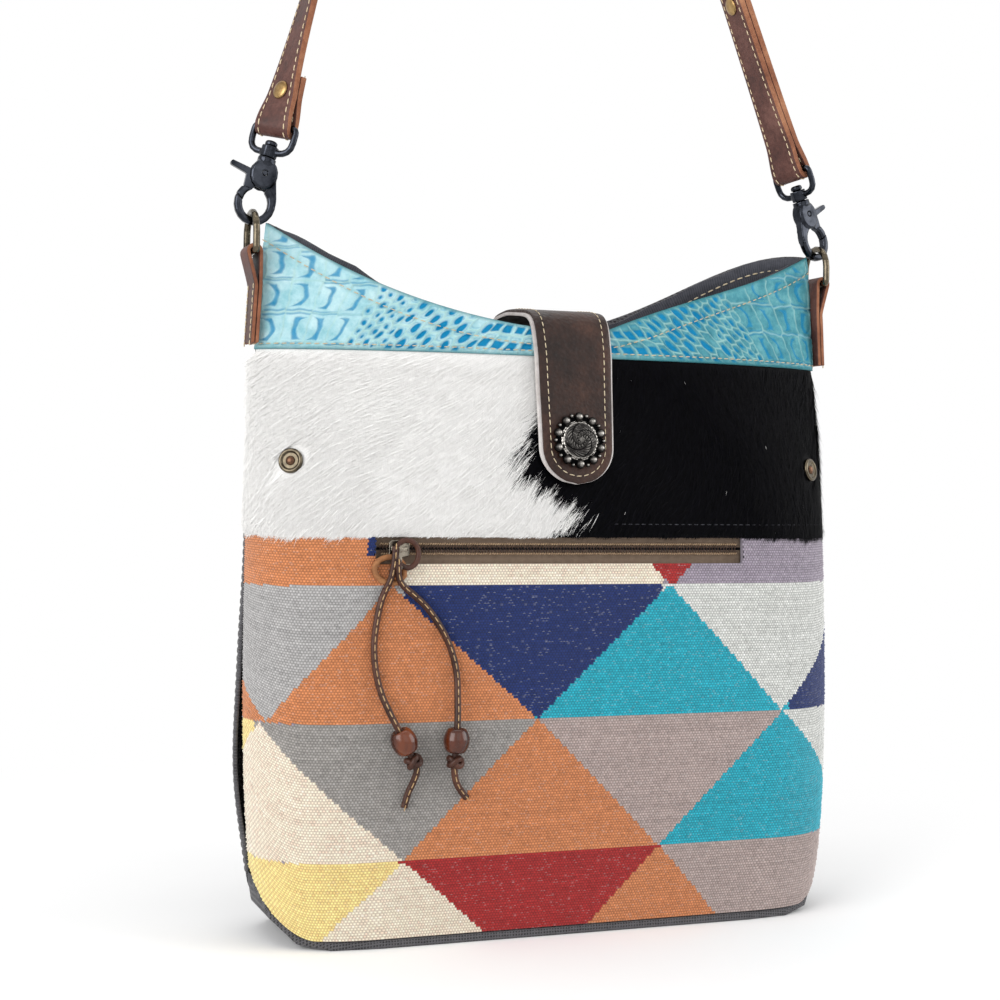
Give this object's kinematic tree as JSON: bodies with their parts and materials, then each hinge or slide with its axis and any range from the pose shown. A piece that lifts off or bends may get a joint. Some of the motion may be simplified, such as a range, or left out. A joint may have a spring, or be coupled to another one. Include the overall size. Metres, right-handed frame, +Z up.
{
  "type": "upright mixed-material shoulder bag",
  "caption": "Upright shoulder bag with embossed leather, hide and woven triangle bands, a zip front pocket, closing tab with concho, and a strap on swivel trigger snaps.",
  "frame": {"origin": "middle of the flat underside of the base, where the bag stands", "axes": "+Z up, +X to the viewer's right when the woven front faces the viewer, so the front faces -Y"},
  "size_m": [0.3613, 0.1086, 0.634],
  "materials": {
    "woven": "woven wool weft-faced weave in a traditional triangle pattern",
    "hide": "hair-on hide, white with a black patch",
    "band": "embossed turquoise leather, low gloss",
    "canvas": "dark gray canvas, matt",
    "lining": "dark gray lining canvas, matt",
    "tape": "taupe zip tape and pocket cloth",
    "coil": "dark brown zip coil",
    "brown": "brown leather, tan cut edges, cream stitching",
    "backing": "pale backing leather",
    "lace": "brown leather lace",
    "bead": "polished red-brown wood",
    "bronze": "antique dark bronze plating",
    "gunmetal": "gunmetal plated cast metal",
    "silver": "antique silver plated cast metal",
    "rivet": "brass"
  },
  "bodies": {
    "bag": {"woven_front_panel": "woven", "hide_band": "hide", "embossed_top_band": "band", "canvas_back_panel": "canvas", "canvas_base": "canvas", "lining": "lining", "gusset_snap_front_left": "bronze", "gusset_snap_front_right": "bronze", "gusset_snap_back_left": "bronze", "gusset_snap_back_right": "bronze", "zip_tape_upper": "tape", "zip_tape_lower": "tape", "zip_coil_upper": "coil", "zip_coil_lower": "coil", "pocket_bag": "tape", "magnet_button_front": "bronze", "side_tab_left": "brown", "side_tab_right": "brown"},
    "closing_tab": {"closing_tab": "brown", "closing_tab_backing": "backing", "concho": "silver", "magnet_button_tab": "bronze"},
    "zip_slider": {"zip_slider": "bronze"},
    "zip_pull": {"zip_pull": "bronze", "lace_head": "lace", "lace_left": "lace", "lace_right": "lace", "bead_left": "bead", "bead_right": "bead", "knot_left": "lace", "knot_right": "lace"},
    "strap": {"shoulder_strap": "brown", "strap_rivet_left": "rivet", "strap_rivet_right": "rivet", "swivel_eye_left": "gunmetal", "swivel_eye_right": "gunmetal"},
    "snap_left": {"snap_body_left": "gunmetal", "trigger_pin_left": "gunmetal"},
    "snap_right": {"snap_body_right": "gunmetal", "trigger_pin_right": "gunmetal"},
    "trigger_left": {"snap_trigger_left": "gunmetal"},
    "trigger_right": {"snap_trigger_right": "gunmetal"},
    "d_ring_left": {"d_ring_left": "gunmetal"},
    "d_ring_right": {"d_ring_right": "gunmetal"}
  },
  "joints": [
    {"name": "closing_tab_hinge", "type": "hinge", "parent": "bag", "child": "closing_tab", "pos_m": [0, 0.0345, 0.296], "axis": [-1, 0, 0], "range_deg": [0, 85]},
    {"name": "zip_slide", "type": "slide", "parent": "bag", "child": "zip_slider", "axis": [1, 0, 0], "range_m": [0, 0.19]},
    {"name": "zip_pull_hinge", "type": "hinge", "parent": "zip_slider", "child": "zip_pull", "pos_m": [-0.1, -0.04535, 0.207], "axis": [-1, 0, 0], "range_deg": [0, 90]},
    {"name": "strap_swing", "type": "hinge", "parent": "bag", "child": "strap", "pos_m": [0, 0, 0.3715], "axis": [1, 0, 0], "range_deg": [-65, 65]},
    {"name": "swivel_left", "type": "hinge", "parent": "strap", "child": "snap_left", "pos_m": [-0.17005, 0, 0.3835], "axis": [0.2588, 0, 0.9659], "range_deg": [-15, 15]},
    {"name": "swivel_right", "type": "hinge", "parent": "strap", "child": "snap_right", "pos_m": [0.17005, 0, 0.3835], "axis": [-0.3665, 0, 0.9304], "range_deg": [-30, 5]},
    {"name": "trigger_left_pivot", "type": "hinge", "parent": "snap_left", "child": "trigger_left", "pos_m": [-0.1641, 0, 0.40416], "axis": [0, -1, 0], "range_deg": [0, 14], "stiffness_Nm_per_rad": 0.03, "springref_deg": -20.05},
    {"name": "trigger_right_pivot", "type": "hinge", "parent": "snap_right", "child": "trigger_right", "pos_m": [0.16182, -0.00014, 0.40337], "axis": [-0.3182, 0.9397, -0.1254], "range_deg": [0, 14], "stiffness_Nm_per_rad": 0.03, "springref_deg": -20.05},
    {"name": "d_ring_left_pivot", "type": "hinge", "parent": "bag", "child": "d_ring_left", "pos_m": [-0.17005, 0, 0.362], "axis": [0, 1, 0], "range_deg": [-3, 3]},
    {"name": "d_ring_right_pivot", "type": "hinge", "parent": "bag", "child": "d_ring_right", "pos_m": [0.17005, 0, 0.362], "axis": [0, 1, 0], "range_deg": [-3, 2]}
  ]
}
